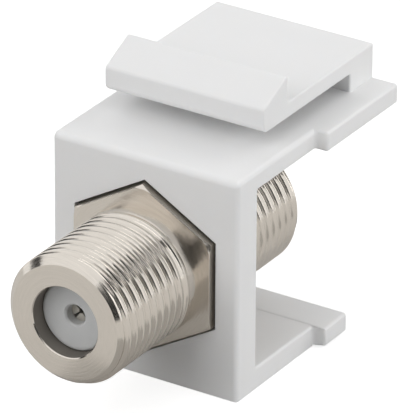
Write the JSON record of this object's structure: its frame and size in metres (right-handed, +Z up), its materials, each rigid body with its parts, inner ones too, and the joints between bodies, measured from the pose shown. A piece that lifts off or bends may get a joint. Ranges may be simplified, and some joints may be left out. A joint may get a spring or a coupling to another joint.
{
  "type": "wall-plate coaxial insert",
  "caption": "Snap-in wall-plate insert: a moulded white body with a sprung latch holds a double female threaded coaxial coupler.",
  "frame": {"origin": "on the coupler's axis, in the plane of the insert's front face", "axes": "+Y along the coupler's axis from the room into the wall, +Z up towards the latch arm, +X across the insert"},
  "size_m": [0.0166, 0.0287, 0.0209],
  "materials": {
    "white_abs": "moulded ABS, satin",
    "nickel_plate": "turned brass, nickel plated, with a warm satin sheen",
    "insulator_plastic": "moulded polyethylene, milky grey",
    "contact_bronze": "stamped phosphor bronze, tin plated, dull grey"
  },
  "bodies": {
    "housing": {"housing": "white_abs", "coupler_shell": "nickel_plate", "rear_nut": "nickel_plate", "front_insulator": "insulator_plastic", "rear_insulator": "insulator_plastic", "centre_contact": "contact_bronze"},
    "latch": {"latch_arm": "white_abs"}
  },
  "joints": [
    {"name": "latch_flex", "type": "hinge", "parent": "housing", "child": "latch", "pos_m": [0, 0.01595, 0.01005], "axis": [1, 0, 0], "range_deg": [0, 6.5], "stiffness_Nm_per_rad": 1}
  ]
}
